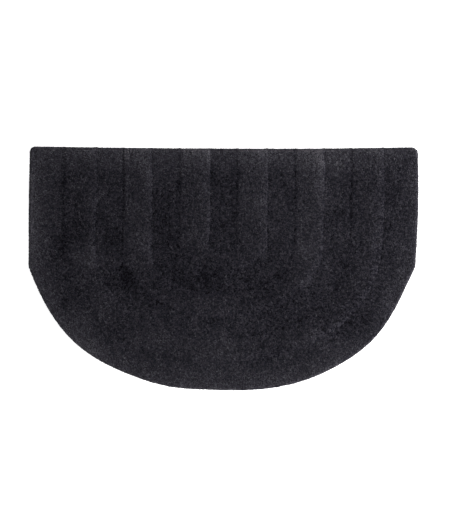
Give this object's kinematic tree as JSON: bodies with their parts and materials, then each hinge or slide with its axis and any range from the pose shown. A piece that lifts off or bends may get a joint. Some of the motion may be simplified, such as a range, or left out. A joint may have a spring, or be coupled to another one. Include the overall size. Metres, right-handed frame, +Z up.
{
  "type": "half moon rug",
  "caption": "Flat tufted pile rug with a straight back edge and a round front edge, carved with nested U lines. It lies on a floor at a door, sink or hearth.",
  "frame": {"origin": "middle of the bounding box on the underside", "axes": "+X along the straight back edge, +Y from the round front edge towards the straight back edge, +Z up through the pile"},
  "size_m": [1.1034, 0.6878, 0.0166],
  "materials": {
    "pile": "matte charcoal cut pile"
  },
  "bodies": {
    "root": {"rug": "pile"}
  },
  "joints": []
}
